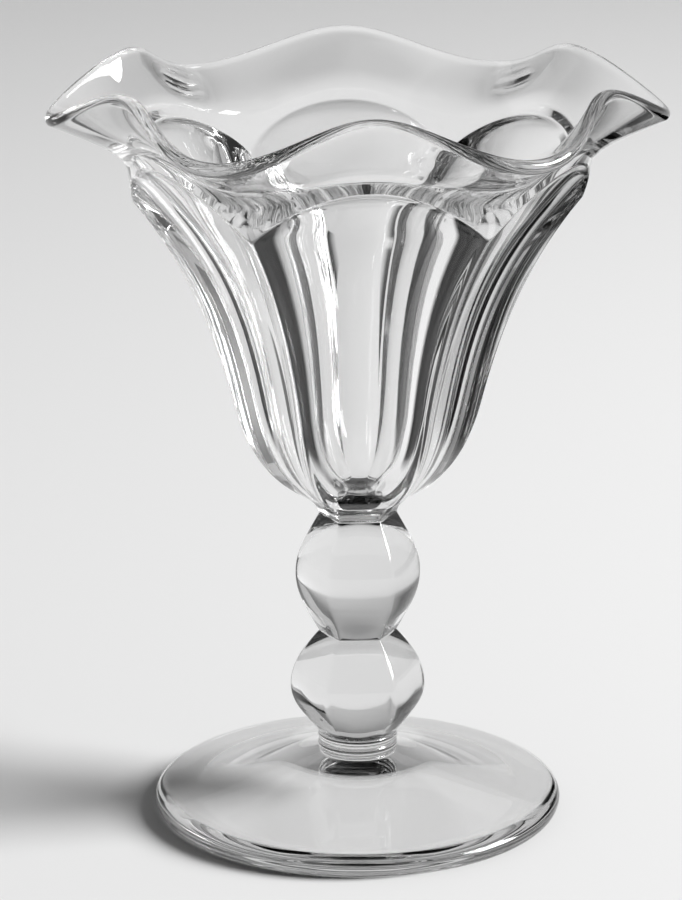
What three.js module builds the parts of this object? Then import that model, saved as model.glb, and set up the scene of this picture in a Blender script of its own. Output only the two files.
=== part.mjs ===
// Footed sundae glass in clear pressed glass: a fluted tulip bowl with a ruffled rim, a stem of
// two faceted knops and a round foot. Millimetres, +Z up, the foot rests on Z = 0 and a flute
// faces -Y. Each piece ends in a flat face and is fused to the next one there.
import * as THREE from "three";
import { LoftGeometry } from "three/addons/geometries/LoftGeometry.js";

// Pattern shared by the bowl, the knops and the rim
const fluteCount = 6;
const neckDiameter = 15.7; // across the corners, where a knop meets its neighbours
const cornerRounding = 0.07; // of a six-sided section, as a share of its radius

// Foot
const footDiameter = 83;
const footEdgeHeight = 4.8; // rolled edge
const footConeHeight = 11.6; // table to the top of the cone
const footEdgeSlope = 9; // degrees from level where the cone leaves the edge
const footCollarSlope = 18; // where the cone reaches the collar
const footHollowDepth = 6.5;
const footHollowSlope = 13; // where the hollow meets the ring that stands on the table
const footHollowTip = 0.1; // roundness of the hollow at the axis
const footRestWidth = 6; // flat ring that stands on the table
const collarDiameter = 15.2;
const collarHeight = 0.8;
const collarFillet = 1.2;
const beadDiameter = 16.2;
const beadHeight = 1.9;
const beadCount = 2;
const beadSweep = 150; // degrees of each bead's section

// Stem
const lowerKnopDiameter = 27.3; // across the corners
const lowerKnopHeight = 21.3;
const lowerKnopSlope = 52; // where the knop leaves its neck
const upperKnopDiameter = 25.2;
const upperKnopHeight = 24.9;
const upperKnopSlope = 62;
const knopFlatness = 0.6; // at the belly, 1 is a flat facet and 0 a round knop
const facetFade = 5.8; // height in which a knop's section changes from its neck to its belly

// Bowl, heights from the neck that it stands on
const bowlNeckSlope = 85;
const undersideDiameter = 25.2; // across the ribs
const undersideHeight = 4.4;
const undersideSlope = 30;
const bellyDiameter = 49.6; // across the ribs
const bellyHeight = 23.2;
const bellySlope = 76;
const shoulderDiameter = 88; // across the ribs, where the arches spring
const shoulderHeight = 64;
const shoulderSlope = 51;
const bandSlope = 81; // plain band above the arches
const archRise = 10.9;
const bandTop = 74;
const bandWave = 3;
const fluteRatio = 0.81; // radius in the middle of a flute over the radius at a rib
const shoulderFluteDepth = 6.6; // of a flute below the ribs at the shoulder
const neckFade = 9; // height in which the six-sided neck turns into flutes
const cupWall = 3.3; // glass between the cup and the middle of a flute, up to the belly
const shoulderWall = 4.2; // the same at the shoulder
const cupFloor = 5.4;
const cupFloorReach = 11; // height in which the rounded floor turns into the wall
const cupFloorPull = 0.45; // roundness of the floor

// Rim, taken on the middle of its thickness
const rimDiameter = 111.2;
const rimHeight = 84.75;
const rimWaveOut = 3.85;
const rimWaveUp = 3.85;
const rimThickness = 2.8;
const lipSlope = 43;
const lipSlopeSwing = 22;
const lipBandPull = 0.2; // how strongly the lip follows the band below it
const lipRimPull = 0.45; // and the slope of the rim

// Fineness of the facets
const columns = 72;
const profileSteps = 150;
const knopSteps = 10;
const fluteRings = 21;
const lipRings = 8;
const rimRings = 6;
const wallRings = 11;
const floorRings = 8;

const fluteAngle = (2 * Math.PI) / fluteCount;
const plainPull = 0.36; // makes a stretch between two stations nearly an arc
const { degToRad, radToDeg, lerp, clamp, smoothstep } = THREE.MathUtils;
const span = (from, to, count) =>
  Array.from({ length: count }, (_, i) => from + ((to - from) * i) / (count - 1));

const lowerKnopBase = footConeHeight + collarHeight + beadCount * beadHeight;
const upperKnopBase = lowerKnopBase + lowerKnopHeight;
const bowlBase = upperKnopBase + upperKnopHeight;

// A station is a point of a profile, radius and height, with the slope of the profile there.
function station(radius, height, slope) {
  const point = new THREE.Vector2(radius, height);
  const heading = new THREE.Vector2(Math.cos(degToRad(slope)), Math.sin(degToRad(slope)));
  return { point, heading };
}

// Smooth stretch of profile that leaves one station and reaches the next along their slopes. The
// pulls say how strongly it follows each slope.
function stretch(from, to, leavePull = plainPull, arrivePull = plainPull) {
  const length = from.point.distanceTo(to.point);
  const leave = from.heading.clone().multiplyScalar(length * leavePull).add(from.point);
  const arrive = to.heading.clone().multiplyScalar(-length * arrivePull).add(to.point);
  return new THREE.CubicBezierCurve(from.point, leave, arrive, to.point);
}

// Stretches joined through a list of stations, as evenly spaced points.
function profileThrough(stations, steps = profileSteps) {
  const path = new THREE.CurvePath();
  stations.slice(1).forEach((to, i) => path.add(stretch(stations[i], to)));
  return path.getSpacedPoints(steps);
}

// Radius of a rising profile at a height.
function radiusAt(points, height) {
  let i = 1;
  while (i < points.length - 1 && points[i].y < height) i += 1;
  const share = (height - points[i - 1].y) / (points[i].y - points[i - 1].y);
  return lerp(points[i - 1].x, points[i].x, clamp(share, 0, 1));
}

// Height of the point at a share of a profile's length.
function heightAlong(points, share) {
  return points[Math.round(share * (points.length - 1))].y;
}

// Ring of points whose radius and height may change with the azimuth, counted from -Y to +X.
function ring(pointAt, base) {
  return Array.from({ length: columns }, (_, column) => {
    const azimuth = (column / columns) * 2 * Math.PI;
    const { x, y } = pointAt(azimuth);
    return new THREE.Vector3(x * Math.sin(azimuth), -x * Math.cos(azimuth), y + base);
  });
}

// Place across a flute or facet, from 0 in its middle to 1 at the rib or corner beside it.
function offMiddle(azimuth) {
  const turns = azimuth / fluteAngle;
  return 2 * Math.abs(turns - Math.round(turns));
}

// Six-sided section with rounded corners, as a share of the radius at the corners.
function hexagon(share) {
  const side = (offset) => Math.cos(fluteAngle / 2) / Math.cos((fluteAngle / 2) * offset);
  const [near, beside] = [side(share), side(2 - share)];
  const give = Math.max(1 - Math.abs(near - beside) / cornerRounding, 0);
  const rounded = Math.min(near, beside) - (give ** 2 * cornerRounding) / 4;
  return rounded / (1 - cornerRounding / 4);
}

function glassPiece(name, geometry) {
  const glass = new THREE.MeshStandardMaterial({ color: 0xe6ecea, roughness: 0.05 });
  const mesh = new THREE.Mesh(geometry, glass);
  mesh.name = name;
  return mesh;
}

// Foot: a turned cone with a rolled edge, a hollow underside and a beaded collar for the stem.
function makeFoot() {
  const edge = footEdgeHeight / 2;
  const edgeCentre = footDiameter / 2 - edge;
  const restInside = edgeCentre - footRestWidth;
  const collar = collarDiameter / 2;
  const beadBase = footConeHeight + collarHeight;
  const edgeTurn = Math.PI / 2 - degToRad(footEdgeSlope);
  const coneFoot = station(
    edgeCentre + edge * Math.cos(edgeTurn),
    edge + edge * Math.sin(edgeTurn),
    180 - footEdgeSlope,
  );
  const coneTop = station(collar + collarFillet, footConeHeight, 180 - footCollarSlope);
  const hollow = stretch(
    station(0, footHollowDepth, 0),
    station(restInside, 0, -footHollowSlope),
    footHollowTip,
  );
  const roll = new THREE.EllipseCurve(edgeCentre, edge, edge, edge, -Math.PI / 2, edgeTurn);
  const fillet = stretch(coneTop, station(collar, beadBase, 90));
  const beads = Array.from({ length: beadCount }, (_, i) => {
    const middle = beadBase + beadHeight * (i + 0.5);
    const sweep = degToRad(beadSweep) / 2;
    const bulge = (beadDiameter - collarDiameter) / 2;
    return new THREE.EllipseCurve(collar, middle, bulge, beadHeight / 2, -sweep, sweep).getPoints(4);
  });
  const outline = [
    ...hollow.getPoints(3),
    ...roll.getPoints(5),
    ...stretch(coneFoot, coneTop).getPoints(3).slice(1),
    ...fillet.getPoints(2).slice(1),
    ...beads.flat(),
    new THREE.Vector2(neckDiameter / 2, lowerKnopBase),
    new THREE.Vector2(0, lowerKnopBase),
  ];
  const turned = new THREE.LatheGeometry(outline, columns);
  return glassPiece("foot", turned.rotateX(Math.PI / 2));
}

// Knop: a ball of glass pressed to a six-sided section. The flatness of its bottom and top says
// whether it meets a round collar, 0, or a six-sided neck, 1.
function makeKnop(name, base, diameter, height, slope, bottomFlatness, topFlatness) {
  const neck = neckDiameter / 2;
  const corner = profileThrough([
    station(neck, 0, slope),
    station(diameter / 2, height / 2, 90),
    station(neck, height, 180 - slope),
  ], knopSteps);
  const rings = corner.map(({ x, y }) => {
    const neckFlatness = y < height / 2 ? bottomFlatness : topFlatness;
    const away = clamp(Math.min(y, height - y) / facetFade, 0, 1);
    const flatness = lerp(neckFlatness, knopFlatness, away);
    const section = (azimuth) => lerp(1, hexagon(offMiddle(azimuth)), flatness);
    return ring((azimuth) => ({ x: x * section(azimuth), y }), base);
  });
  return glassPiece(name, new LoftGeometry(rings, { capStart: true, capEnd: true }));
}

// Bowl: the pressed flutes end in arches under a plain band, and the lip above the band is
// crimped in waves, high and upright over each flute and low and flared over each rib.
function makeBowl() {
  const ribStations = [
    [neckDiameter / 2, 0, bowlNeckSlope],
    [undersideDiameter / 2, undersideHeight, undersideSlope],
    [bellyDiameter / 2, bellyHeight, bellySlope],
  ];
  const shoulder = shoulderDiameter / 2;
  const ribLine = profileThrough([
    ...ribStations.map((place) => station(...place)),
    station(shoulder, shoulderHeight, shoulderSlope),
  ]);
  const blankRadius = (height) => height <= shoulderHeight
    ? radiusAt(ribLine, height)
    : shoulder + (height - shoulderHeight) / Math.tan(degToRad(bandSlope));

  // The middle of a flute follows the ribs at its share of their radius, and above the shoulder
  // it runs straight out, so that it leaves the band at the crown of the arch.
  const runOut = 1 / Math.tan(degToRad(bandSlope)) + shoulderFluteDepth / archRise;
  const middleLine = profileThrough([
    ...ribStations.map(([radius, height, slope]) => {
      const steeper = radToDeg(Math.atan(Math.tan(degToRad(slope)) / fluteRatio));
      return station(fluteRatio * radius, height, steeper);
    }),
    station(shoulder - shoulderFluteDepth, shoulderHeight, radToDeg(Math.atan(1 / runOut))),
  ]);
  const middleRadius = (height) =>
    radiusAt(middleLine, height) + Math.max(height - shoulderHeight, 0) * runOut;

  // Flute section, from 0 in its middle to 1 at the rib: an arc that is hollow to the outside,
  // which turns into a parabola at the shoulder, so that the flutes end in arches.
  const ribX = Math.cos(fluteAngle / 2) / fluteRatio;
  const ribY = Math.sin(fluteAngle / 2) / fluteRatio;
  const hollow = ((ribX - 1) ** 2 + ribY ** 2) / (2 * (ribX - 1));
  const arc = (share) => {
    const angle = (share * fluteAngle) / 2;
    const centre = 1 + hollow;
    const near = Math.sqrt(hollow ** 2 - (centre * Math.sin(angle)) ** 2);
    return (centre * Math.cos(angle) - near - 1) / (1 / fluteRatio - 1);
  };
  const fluteRadius = (share, height) => {
    const blank = blankRadius(height);
    const middle = middleRadius(height);
    const depth = height <= shoulderHeight ? blank - middle : shoulderFluteDepth;
    const section = lerp(arc(share), share ** 2, smoothstep(height, bellyHeight, shoulderHeight));
    const fluted = Math.min(middle + depth * section, blank);
    return lerp(blank * hexagon(share), fluted, smoothstep(height, 0, neckFade));
  };
  const archHeight = (share) => shoulderHeight + archRise * (1 - share ** 2);

  const rimEdge = (azimuth, turn) => {
    const wave = Math.cos(fluteCount * azimuth);
    const { point, heading } = station(
      rimDiameter / 2 - rimWaveOut * wave,
      rimHeight + rimWaveUp * wave,
      lipSlope + lipSlopeSwing * wave,
    );
    const side = heading.clone().rotateAround(new THREE.Vector2(), degToRad(turn));
    return { point: side.multiplyScalar(rimThickness / 2).add(point), heading };
  };
  const bandEdge = (azimuth) => {
    const height = bandTop + bandWave * Math.cos(fluteCount * azimuth);
    return station(blankRadius(height), height, bandSlope);
  };

  // Cup: the middle of the flutes set in by the wall, closed below by a rounded floor.
  const cupPoint = (height) => {
    const step = 0.5;
    const rise = middleRadius(height) - middleRadius(height - step);
    const heading = new THREE.Vector2(rise, step).normalize();
    const up = clamp((height - bellyHeight) / (shoulderHeight - bellyHeight), 0, 1);
    const wall = lerp(cupWall, shoulderWall, up);
    const inward = new THREE.Vector2(-heading.y, heading.x).multiplyScalar(wall);
    return { point: inward.add(new THREE.Vector2(middleRadius(height), height)), heading };
  };
  const cupStart = cupFloor + cupFloorReach;
  const mouth = cupPoint(shoulderHeight);
  const floor = stretch(station(0, cupFloor, 0), cupPoint(cupStart), cupFloorPull, cupFloorPull);

  const rings = [];
  for (const share of span(0, 1, fluteRings)) {
    const height = heightAlong(ribLine, share);
    rings.push(ring((azimuth) => {
      const across = offMiddle(azimuth);
      const y = height + (archHeight(across) - shoulderHeight) * share ** 4;
      return { x: fluteRadius(across, y), y };
    }, bowlBase));
  }
  for (const share of span(0, 1, lipRings)) {
    rings.push(ring((azimuth) => {
      const lip = stretch(bandEdge(azimuth), rimEdge(azimuth, -90), lipBandPull, lipRimPull);
      return lip.getPoint(share);
    }, bowlBase));
  }
  for (const turn of span(-90, 90, rimRings).slice(1)) {
    rings.push(ring((azimuth) => rimEdge(azimuth, turn).point, bowlBase));
  }
  for (const share of span(1, 0, lipRings).slice(1)) {
    rings.push(ring((azimuth) => stretch(mouth, rimEdge(azimuth, 90)).getPoint(share), bowlBase));
  }
  for (const height of span(shoulderHeight, cupStart, wallRings).slice(1)) {
    rings.push(ring(() => cupPoint(height).point, bowlBase));
  }
  for (const share of span(1, 0, floorRings).slice(1)) {
    rings.push(ring(() => floor.getPoint(share), bowlBase));
  }
  return glassPiece("bowl", new LoftGeometry(rings, { capStart: true }));
}

const stem = new THREE.Group();
stem.name = "stem";
stem.add(
  makeKnop("lower_knop", lowerKnopBase, lowerKnopDiameter, lowerKnopHeight, lowerKnopSlope, 0, 1),
  makeKnop("upper_knop", upperKnopBase, upperKnopDiameter, upperKnopHeight, upperKnopSlope, 1, 1),
);

const sundaeGlass = new THREE.Group();
sundaeGlass.name = "footed_sundae_glass";
sundaeGlass.add(makeFoot(), stem, makeBowl());

export default sundaeGlass;
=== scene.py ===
import bpy
import numpy as np
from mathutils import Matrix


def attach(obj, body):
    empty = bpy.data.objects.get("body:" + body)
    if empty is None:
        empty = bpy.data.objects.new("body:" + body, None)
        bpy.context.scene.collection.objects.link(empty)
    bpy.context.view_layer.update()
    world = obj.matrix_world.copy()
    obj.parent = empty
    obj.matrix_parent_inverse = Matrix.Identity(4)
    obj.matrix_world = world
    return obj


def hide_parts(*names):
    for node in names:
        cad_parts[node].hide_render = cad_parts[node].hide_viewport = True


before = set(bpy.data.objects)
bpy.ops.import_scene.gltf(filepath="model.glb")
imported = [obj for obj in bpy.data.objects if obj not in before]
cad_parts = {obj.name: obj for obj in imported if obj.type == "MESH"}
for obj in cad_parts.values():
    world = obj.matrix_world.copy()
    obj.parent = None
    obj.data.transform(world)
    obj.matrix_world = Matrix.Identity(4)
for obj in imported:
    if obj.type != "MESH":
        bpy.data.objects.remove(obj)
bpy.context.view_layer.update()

# Foot: a heavy round plate of clear glass, pressed as a shallow cone with a rolled edge, a
# hollow underside and a flat ring to stand on. A beaded collar on top carries the stem.
MM = 0.001
SIDES = 6  # flutes of the bowl and facets of the knops
foot_radius = 41.5 * MM
foot_edge = 2.4 * MM  # half the height of the rolled edge
foot_edge_width = 4.2 * MM  # of its upper half, which rolls over more slowly
foot_cone_top = 11.6 * MM
foot_cone_slopes = (9, 18)  # at the edge and at the collar
foot_hollow = 6.5 * MM
foot_hollow_slope = 13  # where the hollow meets the ring that stands on the table
foot_hollow_pulls = (0.36, 0.5)  # the longer one at the ring makes the hollow a dome
foot_rest_width = 6 * MM
foot_columns = 288
collar_radius = 7.6 * MM
collar_height = 0.8 * MM
collar_fillet = 1.2 * MM
bead_radius = 8.1 * MM
bead_height = 1.9 * MM
bead_arc = 75  # degrees that a bead's section turns to each side of its widest line
bead_count = 2
neck_radius = 7.85 * MM  # edges of the six-sided necks
lower_knop_base = foot_cone_top + collar_height + bead_count * bead_height


def linear(hex_colour):
    """Linear RGBA of an sRGB hex colour, by the sRGB transfer curve."""
    srgb = np.array([int(hex_colour[i:i + 2], 16) for i in (1, 3, 5)]) / 255
    return (*np.where(srgb <= 0.04045, srgb / 12.92, ((srgb + 0.055) / 1.055) ** 2.4), 1)


def add_node(tree, kind, links=(), **settings):
    """Adds a node. Settings are its own properties or, by name, its input sockets; links gives
    each linked input with the output that feeds it."""
    node = tree.nodes.new(kind)
    for name, value in settings.items():
        if hasattr(node, name):
            setattr(node, name, value)
        else:
            node.inputs[name.replace("_", " ")].default_value = value
    for name, output in links:
        tree.links.new(output, node.inputs[name])
    return node


def pressed_glass():
    """Clear soda-lime glass from an iron mould, fire-polished: very smooth, with the faint
    waviness that a mould leaves, and greyer the thicker it is. Joint faces have no skin, because
    two pieces are one glass there."""
    material = bpy.data.materials.new("pressed_soda_lime_glass")
    material.use_nodes = True
    tree = material.node_tree
    glass = tree.nodes["Principled BSDF"]
    glass.inputs["Base Color"].default_value = linear("#fdfdfd")
    glass.inputs["Roughness"].default_value = 0.0
    glass.inputs["IOR"].default_value = 1.52
    glass.inputs["Transmission Weight"].default_value = 1.0
    wave_size, wave_depth = 9 * MM, 0.06 * MM
    place = add_node(tree, "ShaderNodeTexCoord")
    wave = add_node(tree, "ShaderNodeTexNoise", [("Vector", place.outputs["Object"])],
                    Scale=1 / wave_size, Detail=1.0)
    bump = add_node(tree, "ShaderNodeBump", [("Height", wave.outputs["Fac"])],
                    Strength=0.25, Distance=wave_depth)
    tree.links.new(bump.outputs["Normal"], glass.inputs["Normal"])
    skin = add_node(tree, "ShaderNodeAttribute", attribute_name="skin")
    tree.links.new(skin.outputs["Fac"], glass.inputs["Alpha"])
    depth = add_node(tree, "ShaderNodeVolumeAbsorption", Color=linear("#bcbcbc"), Density=8.0)
    tree.links.new(depth.outputs["Volume"], tree.nodes["Material Output"].inputs["Volume"])
    return material


glass_material = pressed_glass()


def stretch(start, end, share, pulls=(0.36, 0.36)):
    """Cubic curve between two stations (radius, height, slope in degrees) at the given shares:
    it leaves and arrives along their slopes, with handles of pulls times their distance."""
    (r0, z0, slope0), (r1, z1, slope1) = start, end
    leave, arrive = (pull * np.hypot(r1 - r0, z1 - z0) for pull in pulls)
    slope0, slope1 = np.radians(slope0), np.radians(slope1)
    weights = ((1 - share) ** 3, 3 * share * (1 - share) ** 2,
               3 * share**2 * (1 - share), share**3)
    radii = (r0, r0 + leave * np.cos(slope0), r1 - arrive * np.cos(slope1), r1)
    heights = (z0, z0 + leave * np.sin(slope0), z1 - arrive * np.sin(slope1), z1)
    return (sum(w * r for w, r in zip(weights, radii)),
            sum(w * z for w, z in zip(weights, heights)))


def profile_through(stations, steps=400):
    """Stretches joined through a list of stations, as arrays of radius and height."""
    share = np.linspace(0, 1, steps)[:-1]
    parts = [stretch(a, b, share) for a, b in zip(stations, stations[1:])]
    radius = np.concatenate([r for r, _ in parts] + [[stations[-1][0]]])
    height = np.concatenate([z for _, z in parts] + [[stations[-1][1]]])
    return radius, height


def spaced(radius, height, count):
    """The same profile at evenly spaced points along its length."""
    length = np.concatenate([[0], np.cumsum(np.hypot(np.diff(radius), np.diff(height)))])
    where = np.linspace(0, length[-1], count)
    return np.interp(where, length, radius), np.interp(where, length, height)


def glass_solid(name, azimuth, radius, height, bottom_joint, top_joint):
    """Closed skin over a grid of radius and height, one row per ring and one column per azimuth
    counted from -Y to +X. Each end closes in a fan to the axis, clear where it is a joint."""
    rows, columns = radius.shape
    points = np.stack([radius * np.sin(azimuth), -radius * np.cos(azimuth), height], -1)
    poles = [[0, 0, height[0].mean()], [0, 0, height[-1].mean()]]
    vertices = np.concatenate([points.reshape(-1, 3), poles])
    index = np.arange(rows * columns).reshape(rows, columns)
    beside = np.roll(index, -1, axis=1)
    quads = np.stack([index[:-1], beside[:-1], beside[1:], index[1:]], -1).reshape(-1, 4)
    low, high = rows * columns, rows * columns + 1
    bottom = np.stack([beside[0], index[0], np.full(columns, low)], -1)
    top = np.stack([index[-1], beside[-1], np.full(columns, high)], -1)
    mesh = bpy.data.meshes.new(name)
    mesh.from_pydata(vertices.tolist(), [], quads.tolist() + bottom.tolist() + top.tolist())
    mesh.materials.append(glass_material)
    joint = np.concatenate([np.zeros(len(quads), bool), np.full(columns, bottom_joint),
                            np.full(columns, top_joint)])
    mesh.polygons.foreach_set("use_smooth", ~joint)
    mesh.attributes.new("skin", "FLOAT", "FACE").data.foreach_set("value", 1.0 - joint)
    mesh.update()
    piece = bpy.data.objects.new(name, mesh)
    bpy.context.scene.collection.objects.link(piece)
    return piece


def around(radius, height, columns):
    """A turned profile as a grid: every column has the same radius and height."""
    azimuth = np.linspace(0, 2 * np.pi, columns, endpoint=False)
    return azimuth, np.repeat(radius[:, None], columns, 1), np.repeat(height[:, None], columns, 1)


edge_centre = foot_radius - foot_edge
rest_inside = edge_centre - foot_rest_width
under = np.radians(np.linspace(-90, 0, 14))
edge_end = np.arctan2(foot_edge, foot_edge_width * np.tan(np.radians(foot_cone_slopes[0])))
over = np.linspace(0, edge_end, 20)[1:]
edge_r = np.concatenate([edge_centre + foot_edge * np.cos(under),
                         foot_radius - foot_edge_width * (1 - np.cos(over))])
edge_z = foot_edge + foot_edge * np.sin(np.concatenate([under, over]))
along = np.linspace(0, 1, 40)
hollow_r, hollow_z = stretch((0, foot_hollow, 0), (rest_inside, 0, -foot_hollow_slope), along,
                             foot_hollow_pulls)
cone_end = (collar_radius + collar_fillet, foot_cone_top, 180 - foot_cone_slopes[1])
cone_r, cone_z = stretch((edge_r[-1], edge_z[-1], 180 - foot_cone_slopes[0]), cone_end, along)
bead_base = foot_cone_top + collar_height
fillet_r, fillet_z = stretch(cone_end, (collar_radius, bead_base, 90), np.linspace(0, 1, 12))
bead_turn = np.radians(np.linspace(-bead_arc, bead_arc, 18))
bead_r = np.tile(collar_radius + (bead_radius - collar_radius) * np.cos(bead_turn), bead_count)
bead_climb = np.arange(bead_count)[:, None] + (1 + np.sin(bead_turn)) / 2
bead_z = bead_base + bead_height * bead_climb.ravel()
foot_r = np.concatenate([hollow_r[1:], edge_r, cone_r[1:], fillet_r[1:], bead_r, [neck_radius]])
foot_z = np.concatenate([hollow_z[1:], edge_z, cone_z[1:], fillet_z[1:], bead_z,
                         [lower_knop_base]])
foot = glass_solid("round_foot", *around(foot_r, foot_z, foot_columns),
                   bottom_joint=False, top_joint=True)
foot.visible_shadow = False  # the clear plate lets the light through to the paper under it
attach(foot, "root")
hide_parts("foot")

# Knops: two balls of the stem, pressed to a soft six-sided section in the same mould. Their
# facets are flattest at the necks, where each is fused to its neighbours.
lower_knop_radius = 13.65 * MM
lower_knop_height = 21.3 * MM
lower_knop_slope = 48  # degrees from level, where it leaves its necks
lower_knop_middle = 0.46  # share of its height at which it is widest
lower_knop_flatness = (0, 0.75, 1)  # bottom, belly and top: 0 is round, 1 a flat-sided hexagon
upper_knop_radius = 12.6 * MM
upper_knop_height = 24.9 * MM
upper_knop_slope = 62
upper_knop_middle = 0.5
upper_knop_flatness = (1, 0.6, 1)
knop_belly = (0.25, 0.75)  # shares of the height between which the belly's flatness holds
knop_columns = 40  # to a facet
facet_edge = 0.07  # width over which a facet's edge is rounded, as a share of the radius
rib_crowding = 0.45  # 0 spaces the columns evenly, more draws them to the ribs
upper_knop_base = lower_knop_base + lower_knop_height
bowl_base = upper_knop_base + upper_knop_height


def flute_columns(per_flute):
    """Azimuths that crowd towards the ribs between the flutes, with the share of each from the
    middle of its flute, 0, to the rib beside it, 1 or -1."""
    even = np.linspace(-1, 1, per_flute, endpoint=False)
    share = (1 - rib_crowding) * even + rib_crowding * np.sin(even * np.pi / 2)
    azimuth = (np.pi / SIDES * (share + 2 * np.arange(SIDES)[:, None])).ravel()
    return azimuth, np.tile(share, SIDES)


def soft_min(a, b, width):
    """Smaller of two surfaces, rounded where they cross: each gives way over the width."""
    near = np.clip(1 - np.abs(a - b) / width, 0, 1)
    return np.minimum(a, b) - near**2 * width / 4


def hexagon(share):
    """Radius of a flat-sided hexagon with rounded edges, over the radius at its edges."""
    half = np.pi / SIDES
    side = np.cos(half) / np.cos(half * share)
    next_side = np.cos(half) / np.cos(half * (2 - np.abs(share)))
    return soft_min(side, next_side, facet_edge) / (1 - facet_edge / 4)


def knop(name, node, base, belly, height, slope, middle, flatness):
    """Ball between two necks, widest at the middle share of its height: the profile of its edges
    times a hexagon that is flattened by the shares given for its bottom, belly and top."""
    azimuth, share = flute_columns(knop_columns)
    stations = [(neck_radius, 0, slope), (belly, middle * height, 90),
                (neck_radius, height, 180 - slope)]
    edge, z = spaced(*profile_through(stations), 90)
    bottom_flat, belly_flat, top_flat = flatness
    flat = np.interp(z / height, (0, *knop_belly, 1),
                     (bottom_flat, belly_flat, belly_flat, top_flat))
    radius = edge[:, None] * (1 + flat[:, None] * (hexagon(share) - 1))
    z = np.repeat(z[:, None], len(azimuth), 1) + base
    piece = glass_solid(name, azimuth, radius, z, bottom_joint=True, top_joint=True)
    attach(piece, "root")
    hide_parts(node)


knop("wide_knop", "lower_knop", lower_knop_base, lower_knop_radius, lower_knop_height,
     lower_knop_slope, lower_knop_middle, lower_knop_flatness)
knop("tall_knop", "upper_knop", upper_knop_base, upper_knop_radius, upper_knop_height,
     upper_knop_slope, upper_knop_middle, upper_knop_flatness)

# Bowl: a tulip cup of pressed glass. Hollow flutes round the outside end in arches under a plain
# band, and the hot lip above was crimped in waves, upright over the flutes and flared over the
# ribs. The inside is a plain round trumpet left by the plunger.
neck = (neck_radius, 0, 85)  # radius, height above the bowl's base and slope of the ribs
underside = (12.6 * MM, 4.4 * MM, 30)
belly = (24.8 * MM, 23.2 * MM, 76)
shoulder = (44.0 * MM, 64.0 * MM, 51)
band_slope = 81
arch_rise = 10.9 * MM
flute_share = 0.81  # middle of a flute over the ribs beside it
shoulder_share = 0.85
neck_fade = 9 * MM  # height over which the hexagon of the neck turns into flutes
rib_crest = 1.6 * MM  # width over which a rib is rounded
arch_crest = 0.4 * MM
arch_step = 1.4 * MM  # how much deeper a flute gets just under its arch
arch_scoop = 0.9 * MM  # height over which it does so
cup_wall = (3.3 * MM, 4.2 * MM)  # behind a flute's middle at the belly and at the shoulder
cup_floor = 5.4 * MM
cup_floor_reach = 11 * MM
cup_floor_pulls = (0.3, 0.5)
band_top = 74 * MM
band_wave = 3 * MM
rim_radius = 55.6 * MM
rim_height = 84.75 * MM
rim_wave_out = 3.85 * MM
rim_wave_up = 3.85 * MM
rim_thickness = 2.8 * MM
lip_slope = 43
lip_slope_swing = 22
lip_pulls = (0.2, 0.45)
bowl_columns = 64  # to a flute
arch_zone = 5 * MM  # height below an arch in which the rings crowd
past_arch = 1.2 * MM  # and above it

rib_r, rib_z = profile_through([neck, underside, belly, shoulder])
crown_z = shoulder[1] + arch_rise


def blank_radius(z):
    """Outside before the flutes: the rib line, then the straight band above the shoulder."""
    band = shoulder[0] + (z - shoulder[1]) / np.tan(np.radians(band_slope))
    return np.where(z <= shoulder[1], np.interp(z, rib_z, rib_r), band)


def scaled(station, share):
    """A station moved towards the axis, with its slope changed to match."""
    radius, height, slope = station
    return share * radius, height, np.degrees(np.arctan(np.tan(np.radians(slope)) / share))


shoulder_depth = (1 - shoulder_share) * shoulder[0]
run_out = 1 / np.tan(np.radians(band_slope)) + shoulder_depth / arch_rise
run_out_slope = np.degrees(np.arctan(1 / run_out))
middle_r, middle_z = profile_through([
    scaled(neck, flute_share), scaled(underside, flute_share), scaled(belly, flute_share),
    (shoulder_share * shoulder[0], shoulder[1], run_out_slope),
])


def middle_radius(z):
    """Middle of a flute: a share of the rib radius, then straight out through the band."""
    past = np.maximum(z - shoulder[1], 0)
    return np.interp(z, middle_z, middle_r) + past * run_out


def eased(share):
    """Share from 0 to 1 that starts and ends level: three squares less two cubes."""
    share = np.clip(share, 0, 1)
    return share**2 * (3 - 2 * share)


def above_belly(z):
    """Eased share of the way from the belly, 0, to the shoulder, 1."""
    return eased((z - belly[1]) / (shoulder[1] - belly[1]))


def hollow_share(share, z):
    """Rise of a flute's section from its middle, 0, to the rib, 1: an arc that is hollow to the
    outside, which turns into a parabola at the shoulder so that the flutes end in arches."""
    half = np.pi / SIDES
    arc_end = 0.7  # radians past the rib, short of where the arc's circle turns back
    angle = np.minimum(half * np.abs(share), arc_end)
    rib_x, rib_y = np.cos(half) / flute_share, np.sin(half) / flute_share
    hollow = ((rib_x - 1) ** 2 + rib_y**2) / (2 * (rib_x - 1))
    centre = 1 + hollow
    depth = np.maximum(hollow**2 - (centre * np.sin(angle)) ** 2, 0)
    arc = (centre * np.cos(angle) - np.sqrt(depth) - 1) / (1 / flute_share - 1)
    return arc + above_belly(z) * (share**2 - arc)


def arch_height(share):
    """Height at which a flute runs out of the band: a parabola across the flute."""
    return crown_z - arch_rise * share**2


def scoop(share, z):
    """Extra depth of a flute under its arch: it nears a full step by an exponential of the
    distance below the arch, and fades towards the ribs and down to the belly."""
    below = np.maximum(arch_height(share) - z, 0)
    return arch_step * (1 - np.exp(-below / arch_scoop)) * above_belly(z) * (1 - share**6)


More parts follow.
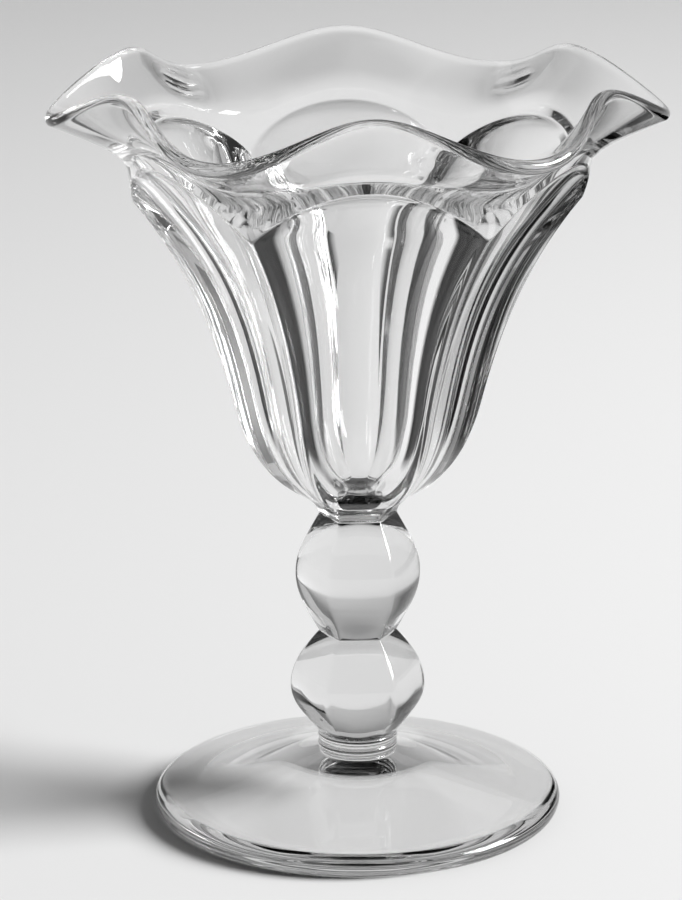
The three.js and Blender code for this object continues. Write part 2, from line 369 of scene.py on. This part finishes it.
def fluted_radius(share, z):
    """Outside of the bowl: the smaller of the two nearest flutes and the blank, rounded where
    they meet by fire polishing, on a hexagon at the neck."""
    middle = middle_radius(z)
    depth = np.where(z <= shoulder[1], blank_radius(z) - middle, shoulder_depth)
    near = middle + depth * hollow_share(share, z) - scoop(share, z)
    beside = middle + depth * hollow_share(2 - np.abs(share), z)
    crest = np.minimum(rib_crest, 0.2 * middle)
    flutes = soft_min(near + crest / 4, beside + crest / 4, crest)
    fluted = soft_min(flutes, blank_radius(z) + arch_crest / 4, arch_crest)
    return fluted + eased(1 - z / neck_fade) * (blank_radius(z) * hexagon(share) - fluted)


azimuth, share = flute_columns(bowl_columns)
wave = np.cos(SIDES * azimuth)
arch = arch_height(share)
_, lower_z = spaced(rib_r, rib_z, 70)
lift = np.linspace(0, 1, 70)[:, None] ** 4
flute_z = (lower_z[:, None] * (shoulder[1] - arch_zone) / shoulder[1]
           + lift * (arch - shoulder[1]))
crowd = np.linspace(0, 1, 30)[1:, None]
crowded_z = arch - arch_zone + (arch_zone + past_arch) * crowd
climb = np.linspace(0, 1, 8)[1:, None]
band_z = arch + past_arch + (band_top + band_wave * wave - arch - past_arch) * climb
outside_z = np.concatenate([flute_z, crowded_z, band_z])
outside_r = fluted_radius(share, outside_z)

rim = (rim_radius - rim_wave_out * wave, rim_height + rim_wave_up * wave,
       lip_slope + lip_slope_swing * wave)


def rim_edge(turn):
    """Point of the rounded rim: half the thickness from its middle line, turned from the lip's
    slope in degrees."""
    direction = np.radians(rim[2] + turn)
    return (rim[0] + rim_thickness / 2 * np.cos(direction),
            rim[1] + rim_thickness / 2 * np.sin(direction), rim[2])


lip_r, lip_z = stretch((outside_r[-1], outside_z[-1], band_slope), rim_edge(-90),
                       np.linspace(0, 1, 30)[1:, None], lip_pulls)
rim_r, rim_z, _ = rim_edge(np.linspace(-90, 90, 18)[1:, None])

heading = np.arctan2(np.gradient(middle_z), np.gradient(middle_r))
wall = np.interp(middle_z, (belly[1], shoulder[1]), cup_wall)
wall_r, wall_z = middle_r - wall * np.sin(heading), middle_z + wall * np.cos(heading)
used = middle_z > cup_floor + cup_floor_reach
wall_r, wall_z, heading = wall_r[used], wall_z[used], np.degrees(heading[used])
inner_lip_r, inner_lip_z = stretch((wall_r[-1], wall_z[-1], heading[-1]), rim_edge(90),
                                   np.linspace(1, 0, 32)[1:, None])
wall_r, wall_z = spaced(wall_r[::-1], wall_z[::-1], 40)
floor_r, floor_z = stretch((0, cup_floor, 0), (wall_r[-1], wall_z[-1], heading[0]),
                           np.linspace(1, 0, 20)[1:-1], cup_floor_pulls)
cup_r, cup_z = np.concatenate([wall_r[1:], floor_r]), np.concatenate([wall_z[1:], floor_z])
_, cup_r, cup_z = around(cup_r, cup_z, len(azimuth))
bowl_r = np.concatenate([outside_r, lip_r, rim_r, inner_lip_r, cup_r])
bowl_z = np.concatenate([outside_z, lip_z, rim_z, inner_lip_z, cup_z]) + bowl_base
bowl = glass_solid("fluted_bowl", azimuth, bowl_r, bowl_z, bottom_joint=True, top_joint=False)
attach(bowl, "root")
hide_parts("bowl")

# Table and backdrop: one sheet of matt white paper that lies flat under the glass and sweeps up
# behind it.
sweep_width, sweep_front, sweep_back = 3.6, -1.8, 1.05
sweep_bend, sweep_lean, sweep_rise = 0.9, 60, 0.8  # bend's radius and degrees, length above it
paper_gap = 0.2 * MM  # keeps the paper just clear of the foot


def stage_sheet(name, points):
    """Thin sheet of the stage over a grid of points, with a face between each four of them."""
    index = np.arange(points[..., 0].size).reshape(points.shape[:2])
    faces = np.stack([index[:-1, :-1], index[:-1, 1:], index[1:, 1:], index[1:, :-1]], -1)
    mesh = bpy.data.meshes.new(name)
    mesh.from_pydata(points.reshape(-1, 3).tolist(), [], faces.reshape(-1, 4).tolist())
    mesh.shade_smooth()
    sheet = bpy.data.objects.new(name, mesh)
    bpy.context.scene.collection.objects.link(sheet)
    return sheet


bend = np.radians(np.linspace(0, sweep_lean, 24))
bend_y, bend_z = sweep_back + sweep_bend * np.sin(bend), sweep_bend * (1 - np.cos(bend))
sweep_y = np.concatenate([[sweep_front], bend_y, [bend_y[-1] + sweep_rise * np.cos(bend[-1])]])
sweep_z = np.concatenate([[0], bend_z, [bend_z[-1] + sweep_rise * np.sin(bend[-1])]]) - paper_gap
sweep_x = np.array([-sweep_width / 2, sweep_width / 2])
sweep_points = np.stack(np.broadcast_arrays(sweep_x, sweep_y[:, None], sweep_z[:, None]), -1)
sweep = stage_sheet("paper_sweep", sweep_points)
paper = bpy.data.materials.new("matt_white_paper")
paper.use_nodes = True
paper_shader = paper.node_tree.nodes["Principled BSDF"]
paper_shader.inputs["Base Color"].default_value = linear("#e8e8e8")
paper_shader.inputs["Roughness"].default_value = 0.9
sweep.data.materials.append(paper)

# Dark cards: sheets level beside the glass at shelf height, upright round it and above it. Each
# glows a fixed dim grey in place of being lit, which paints a dark room round the glass, and the
# level ones paint shaded paper beside it. Clear glass shows them as painted dark streaks and
# edges.
# They thin out to their edges, and only the glass sees them.
shelf_height = 45 * MM
card_fade = 1 / 9  # share of a card's length and width over which it thins out


def dark_card(name, turn, low, high, colour, mirrored):
    """Sheet ruled between two edges. Each edge gives its distance from the axis and its height
    at the turns, which are degrees from straight behind the glass towards the right. Mirrored
    sheets show in the outside of the glass, the others only through it."""
    along, across = np.linspace(0, 1, 60), np.linspace(0, 1, 20)[:, None]
    fine = turn[0] + along * (turn[-1] - turn[0])
    order = np.argsort(turn)
    edges = [[np.interp(fine, turn[order], (part + np.zeros(len(turn)))[order]) for part in edge]
             for edge in (low, high)]
    reach, height = (one + across * (two - one) for one, two in zip(*edges))
    fine = np.radians(fine)
    card = stage_sheet(name, np.stack([reach * np.sin(fine), reach * np.cos(fine), height], -1))
    card.visible_camera = card.visible_diffuse = card.visible_shadow = False
    card.visible_glossy = mirrored
    thin_along, thin_across = (np.clip(np.minimum(part, 1 - part) / card_fade, 0, 1)
                               for part in (along, across))
    cover = card.data.attributes.new("cover", "FLOAT", "POINT")
    cover.data.foreach_set("value", (thin_along * thin_across).ravel())
    dark_glow = bpy.data.materials.new("painted_dark_glow")
    dark_glow.use_nodes = True
    tree = dark_glow.node_tree
    shader = tree.nodes["Principled BSDF"]
    shader.inputs["Base Color"].default_value = linear("#000000")
    shader.inputs["Specular IOR Level"].default_value = 0.0
    # The sheet glows this fixed dim grey in place of being lit: painted dark surroundings that
    # only the glass shows.
    shader.inputs["Emission Color"].default_value = linear(colour)
    shader.inputs["Emission Strength"].default_value = 1.0
    # Its cover thins it out to its edges, so the painted dark patches in the glass fade softly.
    edge_fade = add_node(tree, "ShaderNodeAttribute", attribute_name="cover")
    tree.links.new(edge_fade.outputs["Fac"], shader.inputs["Alpha"])
    card.data.materials.append(dark_glow)


dark_card("painted_dark_shelf_left", np.array([-22, -38, -45, -60, -76, -100]),
          (np.array([300, 220, 95, 48, 38, 36]) * MM, shelf_height),
          (np.array([350, 350, 340, 330, 250, 160]) * MM, shelf_height), "#080808", False)
dark_card("painted_dark_shelf_right", np.array([24, 36, 45, 60, 76, 100]),
          (np.array([290, 150, 90, 52, 40, 38]) * MM, shelf_height),
          (np.array([360, 360, 340, 320, 240, 150]) * MM, shelf_height), "#181818", True)
dark_card("painted_dark_left", np.array([-24, -130]), (0.6, 0.0), (0.6, 0.6), "#282828", False)
dark_card("painted_dark_front", np.array([120, 240]), (0.9, -0.1), (0.9, 1.2), "#202020", True)
dark_card("painted_dark_above", np.array([-200, 50]), (0.0, 1.1), (1.5, 1.1), "#282828", True)

# Edge shadow: the rolled edge of the foot throws light aside, which leaves a thin shadow on the
# paper. A half ring that only blocks light and tapers to its ends stands in for the edge there.
ring_start, ring_end = 215, 395  # degrees from -Y towards +X
ring_share = 0.8  # of the rolled edge that the ring fills at its middle
ring_turn = np.radians(np.linspace(ring_start, ring_end, 90))[:, None]
ring_round = np.radians(np.linspace(0, 360, 13))
ring_width = ring_share * foot_edge * np.sqrt(np.sin(np.linspace(0, np.pi, 90)))[:, None]
ring_r = foot_radius - foot_edge + ring_width * np.cos(ring_round)
ring_z = foot_edge + ring_width * np.sin(ring_round)
ring = stage_sheet("edge_shadow", np.stack([ring_r * np.sin(ring_turn),
                                            -ring_r * np.cos(ring_turn), ring_z], -1))
ring.visible_camera = ring.visible_diffuse = False
ring.visible_glossy = ring.visible_transmission = False

# Light: one large soft window at the right and a little in front, and a dim room all round. The
# room looks pale where it is seen, also through the glass.
window_distance, window_turn, window_tilt = 2.8, 97, 30  # turn from straight behind the glass
window_width, window_height, window_spread = 1.3, 1.45, 90
window = bpy.data.lights.new("window", "AREA")
window.shape = "RECTANGLE"
window.size, window.size_y = window_width, window_height
window.energy = 39
window.spread = np.radians(window_spread)
window_place = bpy.data.objects.new("window", window)
turn, tilt = np.radians([window_turn, window_tilt])
window_place.location = window_distance * np.array(
    [np.sin(turn) * np.cos(tilt), np.cos(turn) * np.cos(tilt), np.sin(tilt)])
window_place.rotation_euler = (0, np.pi / 2 - tilt, np.pi / 2 - turn)
bpy.context.scene.collection.objects.link(window_place)
room = bpy.data.worlds.new("room")
room.use_nodes = True
tree = room.node_tree
dim = tree.nodes["Background"]
dim.inputs["Color"].default_value = linear("#ffffff")
dim.inputs["Strength"].default_value = 0.16
pale = add_node(tree, "ShaderNodeBackground", Color=linear("#bcbcbc"), Strength=1.0)
path = add_node(tree, "ShaderNodeLightPath")
seen = add_node(tree, "ShaderNodeMath", [(0, path.outputs["Is Camera Ray"]),
                                         (1, path.outputs["Is Glossy Ray"])], operation="ADD")
seen = add_node(tree, "ShaderNodeMath", [(0, seen.outputs[0]),
                                         (1, path.outputs["Is Transmission Ray"])],
                operation="ADD", use_clamp=True)
mix = add_node(tree, "ShaderNodeMixShader", [(0, seen.outputs[0]), (1, dim.outputs[0]),
                                             (2, pale.outputs[0])])
tree.links.new(mix.outputs[0], tree.nodes["World Output"].inputs["Surface"])
bpy.context.scene.world = room

# Camera at the photograph's angle: a long lens a little left of the glass's front, looking down.
# Rays pass through glass many times, and light thrown by the glass itself is left out.
camera_distance, camera_turn, camera_tilt = 0.70, -3.0, 16.3
camera_left = 3.4 * MM  # sideways step that places the glass in the frame
focal_pixels, frame_height, sensor = 3500, 900, 36
aim = np.array([0, 0, 75.4 * MM])
turn, tilt = np.radians([camera_turn, camera_tilt])
back = np.array([np.sin(turn) * np.cos(tilt), -np.cos(turn) * np.cos(tilt), np.sin(tilt)])
right = np.array([np.cos(turn), np.sin(turn), 0])
camera = bpy.data.cameras.new("camera")
camera.sensor_width = sensor
camera.lens = focal_pixels / frame_height * sensor
camera_place = bpy.data.objects.new("camera", camera)
camera_place.location = aim + camera_distance * back - camera_left * right
camera_place.rotation_euler = (np.pi / 2 - tilt, 0, turn)
bpy.context.scene.collection.objects.link(camera_place)
bpy.context.scene.camera = camera_place
bpy.context.scene.view_settings.view_transform = "Standard"
cycles = bpy.context.scene.cycles
cycles.max_bounces = cycles.transmission_bounces = cycles.transparent_max_bounces = 24
cycles.glossy_bounces = 12
cycles.caustics_refractive = cycles.caustics_reflective = False
